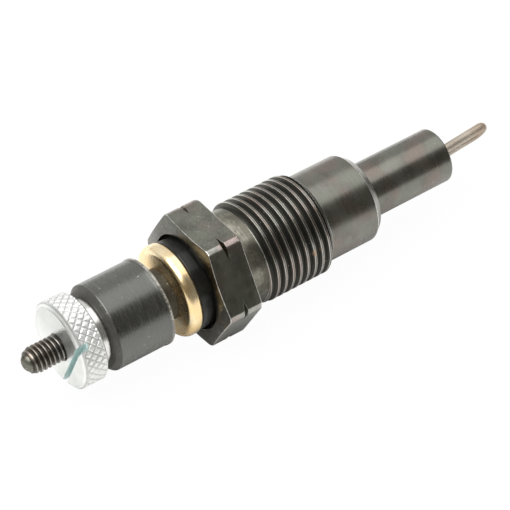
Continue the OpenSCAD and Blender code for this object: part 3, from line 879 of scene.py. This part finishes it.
# brass ring, rounder in front than behind
ringSizes = {**solidSizes("ring_terminal"), "bore": 3.33, "frontRound": 1.25, "backRound": 0.45}
brassLook = {
    "deep": (0.89, 0.65, 0.33), "pale": (0.93, 0.785, 0.54), "spot": (0.5, 0.36, 0.18),
    "linesPerMetre": 5000.0, "cloudPerMetre": 350.0, "specks": 0.25, "roughness": 0.27, "bump": 0.12,
}


def makeRing():
    s = ringSizes
    roundSteps = 12
    corners = [(s["back"], s["bore"], 0.1, 0), (s["front"], s["bore"], 0.1, 0)]
    for side, face, size in ((-1, s["front"], s["frontRound"]), (1, s["back"], s["backRound"])):
        for step in range(roundSteps + 1):  # quarter round, first out to the rim and then back in
            share = step / roundSteps
            t = math.pi / 2 * (share if side < 0 else 1 - share)
            station = face + side * size * (math.cos(t) - 1)
            corners.append((station, s["radius"] + size * (math.sin(t) - 1), 0, 0))
    ring = turnPiece("ring_terminal_brass", corners, drawnMetal("brass", brassLook))
    settle(ring, "brass", "ring_terminal")


# collar between the ring and the hexagon
collarSizes = {**solidSizes("collar_insulator"), "footStart": -4.6, "neck": 7.9, "bore": ringSizes["bore"]}
collarLook = {
    "dark": (0.008, 0.008, 0.007), "light": (0.014, 0.014, 0.012), "dust": (0.03, 0.032, 0.028),
    "chip": (0.2, 0.19, 0.18), "linesPerMetre": 2500.0, "lineShade": 0.2, "grainPerMetre": 7000.0,
    "grainShade": 0.0, "grainDepth": 0.4, "specks": 0.05, "roughness": 0.22, "bump": 0.06, "ior": 1.38,
    "shine": (1.0, 1.0, 1.0, 1.0),
}


def makeCollar():
    s = collarSizes
    corners = [
        (s["back"], s["bore"], 0, 0),
        (s["front"], s["bore"], 0, 0),
        (s["front"], s["neck"], 0.25, 0.0),
        (s["footStart"], s["neck"], 0.15, 0.0),
        (s["footStart"], s["radius"], 0.1, 0.0),
        (s["back"], s["radius"], 0, 0),
    ]
    collar = turnPiece("collar_insulator_gloss", corners, blackMoulding("glossyBlack", collarLook))
    settle(collar, "glossy_black", "collar_insulator")


# heater wire: two legs, a slight lean outside the tip, a hairpin end
wireSizes = {
    "radius": 0.825, "legPitch": 2.8, "socket": 38.4, "elbow": 45.825, "elbowRadius": 6.6, "lean": 4.0,
    "leanLength": 8.789, "turn": -63.0,
}
wireLook = {
    "deep": (0.42, 0.37, 0.31), "pale": (0.56, 0.51, 0.44), "spot": (0.3, 0.25, 0.2),
    "heat": (0.44, 0.36, 0.29), "heatSpan": (52.0, 57.0), "linesPerMetre": 1500.0, "cloudPerMetre": 160.0,
    "specks": 0.03, "roughness": 0.58, "bump": 0.03,
}


# points of the first leg, the hairpin and the second leg, before the loop is turned round the axis
def wireRoute():
    s = wireSizes
    lean = math.radians(s["lean"])
    bend = s["legPitch"] / 2
    elbowSteps = 4
    hairpinSteps = 24
    leg = [Vector((s["socket"], 0, 0))]
    for i in range(elbowSteps + 1):
        t = lean * i / elbowSteps
        swing = Vector((math.sin(t), 0, 1 - math.cos(t))) * s["elbowRadius"]
        leg.append(Vector((s["elbow"], 0, 0)) + swing)
    ahead = Vector((math.cos(lean), 0, math.sin(lean)))
    leg.append(leg[-1] + ahead * s["leanLength"])
    route = list(leg)
    for i in range(1, hairpinSteps):
        t = math.pi * i / hairpinSteps
        route.append(leg[-1] + ahead * bend * math.sin(t) + Vector((0, bend * (1 - math.cos(t)), 0)))
    return route + [p + Vector((0, s["legPitch"], 0)) for p in reversed(leg)]


def makeWire():
    route = wireRoute()
    turn = Matrix.Rotation(math.radians(wireSizes["turn"]), 3, "X")
    line = bpy.data.curves.new("heater_route", "CURVE")
    line.dimensions = "3D"
    spline = line.splines.new("POLY")
    spline.points.add(len(route) - 1)
    for point, spot in zip(spline.points, route):
        point.co = (*(turn @ spot * mm), 1.0)
    guide = linked(bpy.data.objects.new("heater_route", line))
    wire = growPiece("filament_loop_wire", wireSweep(), {
        "wireRadius": wireSizes["radius"] * mm, "sides": 32, "finish": drawnMetal("heaterWire", wireLook)},
        start=guide, sharpAngle=60)
    settle(wire, "heater_wire", "filament_loop")


makeBody()
makeStud()
makeNut()
makeWasher()
makeSpacer()
makeRing()
makeCollar()
makeWire()

# inner pieces keep their solids and get their finishes
tubeLook = {
    "deep": (0.36, 0.35, 0.33), "pale": (0.5, 0.48, 0.45), "spot": (0.2, 0.18, 0.16),
    "linesPerMetre": 4000.0, "cloudPerMetre": 300.0, "specks": 0.15, "roughness": 0.35, "bump": 0.15,
}
sleeveLook = {"dark": (0.62, 0.58, 0.5), "light": (0.74, 0.7, 0.62), "pit": (0.5, 0.46, 0.4)}
cementLook = {"dark": (0.42, 0.39, 0.34), "light": (0.58, 0.54, 0.47), "pit": (0.3, 0.28, 0.25)}
sleeveFinish = mineral("firedInsulator", sleeveLook)
innerFinishes = {
    "outer_electrode": drawnMetal("electrodeSteel", tubeLook),
    "inner_insulator": sleeveFinish,
    "outer_insulator": sleeveFinish,
    "nose_cement": mineral("castCement", cementLook),
}
for node, material in innerFinishes.items():
    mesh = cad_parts[node].data
    mesh.materials.clear()
    mesh.materials.append(material)
print("inner pieces finished:", len(innerFinishes))


# studio: pale floor just under the lowest flat, white surround for the camera, three soft panels
studio = {
    "floorLevel": -bodySizes["radius"], "floorGap": 0.01, "floorRadius": 1600.0,
    "floorColour": (0.95, 0.95, 0.945), "shadowSeen": 0.03, "shadowInGloss": 0.88,
    "worldTone": (0.175, 0.168, 0.148),
}
panels = {  # place, aim and size in metres, power in watts
    "overheadPanel": ((0.25, 0.04, 0.7), (0.25, 0.04, 0.0), (1.5, 0.72), 5.0),
    "backPanel": ((0.15, 0.95, 0.55), (0.0, 0.0, 0.05), (2.6, 1.1), 6.0),
    "leftPanel": ((-0.5, 0.02, 0.85), (0.0, 0.0, 0.0), (0.9, 0.9), 8.5),
}


def makeFloor():
    s = studio
    work = bmesh.new()
    bmesh.ops.create_circle(work, cap_ends=True, segments=96, radius=s["floorRadius"] * mm)
    bmesh.ops.translate(work, verts=work.verts, vec=(0, 0, (s["floorLevel"] - s["floorGap"]) * mm))
    mesh = bpy.data.meshes.new("studio_floor")
    work.to_mesh(mesh)
    work.free()
    material, tree, shader = newMaterial(
        "paleFloor", Roughness=0.9, Base_Color=(*s["floorColour"], 1), Specular_IOR_Level=0.0)
    glow = addNode(tree, "ShaderNodeEmission", {"Color": (1, 1, 1, 1), "Strength": 1.0})
    path = addNode(tree, "ShaderNodeLightPath").outputs
    direct = times(tree, path["Is Camera Ray"], 1 - s["shadowSeen"])
    mirrored = calc(tree, "MAXIMUM", path["Is Glossy Ray"], path["Is Transmission Ray"])
    mirrored = times(tree, mirrored, 1 - s["shadowInGloss"])
    mix = addNode(tree, "ShaderNodeMixShader", {
        0: calc(tree, "MAXIMUM", direct, mirrored), 1: shader.outputs[0], 2: glow.outputs[0]})
    plug(tree, tree.nodes["Material Output"].inputs["Surface"], mix.outputs[0])
    mesh.materials.append(material)
    floor = linked(bpy.data.objects.new("studio_floor", mesh))


def makeWorld():
    world = bpy.data.worlds.new("studio")
    bpy.context.scene.world = world
    world.use_nodes = True
    tree = world.node_tree
    path = addNode(tree, "ShaderNodeLightPath").outputs
    shade = tree.nodes["Background"]
    shade.inputs["Color"].default_value = (*studio["worldTone"], 1)
    white = addNode(tree, "ShaderNodeBackground", {"Color": (1, 1, 1, 1), "Strength": 1.0})
    seen = calc(tree, "MAXIMUM", path["Is Camera Ray"], path["Is Transmission Ray"])
    mix = addNode(tree, "ShaderNodeMixShader", {0: seen, 1: shade.outputs[0], 2: white.outputs[0]})
    plug(tree, tree.nodes["World Output"].inputs["Surface"], mix.outputs[0])


def makePanels():
    for name, (place, aim, size, power) in panels.items():
        lamp = bpy.data.lights.new(name, "AREA")
        lamp.shape = "RECTANGLE"
        lamp.size, lamp.size_y = size
        lamp.energy = power
        holder = linked(bpy.data.objects.new(name, lamp))
        holder.location = place
        holder.rotation_euler = (Vector(aim) - Vector(place)).to_track_quat("-Z", "Y").to_euler()
        holder.visible_camera = False
    print("studio ready:", len(panels), "panels")


# camera placed from the picture of the real piece, in millimetres
cameraSizes = {
    "place": (-166.45, -244.93, 279.26), "ahead": (0.4219, 0.5957, -0.6836),
    "right": (0.8069, -0.5905, -0.0165), "lens": 176.5, "sensor": 36.0, "clipStart": 10.0,
    "clipEnd": 20000.0,
}


def makeCamera():
    s = cameraSizes
    ahead = Vector(s["ahead"]).normalized()
    right = Vector(s["right"])
    right = (right - ahead * right.dot(ahead)).normalized()
    up = right.cross(ahead)
    camera = linked(bpy.data.objects.new("camera", bpy.data.cameras.new("camera")))
    camera.data.lens = s["lens"]
    camera.data.sensor_width = s["sensor"]
    camera.data.clip_start = s["clipStart"] * mm
    camera.data.clip_end = s["clipEnd"] * mm
    camera.matrix_world = Matrix((right, up, -ahead)).transposed().to_4x4()
    camera.location = Vector(s["place"]) * mm
    bpy.context.scene.camera = camera
    print("camera placed")


makeFloor()
makeWorld()
makePanels()
makeCamera()
bpy.context.scene.view_settings.view_transform = "Standard"
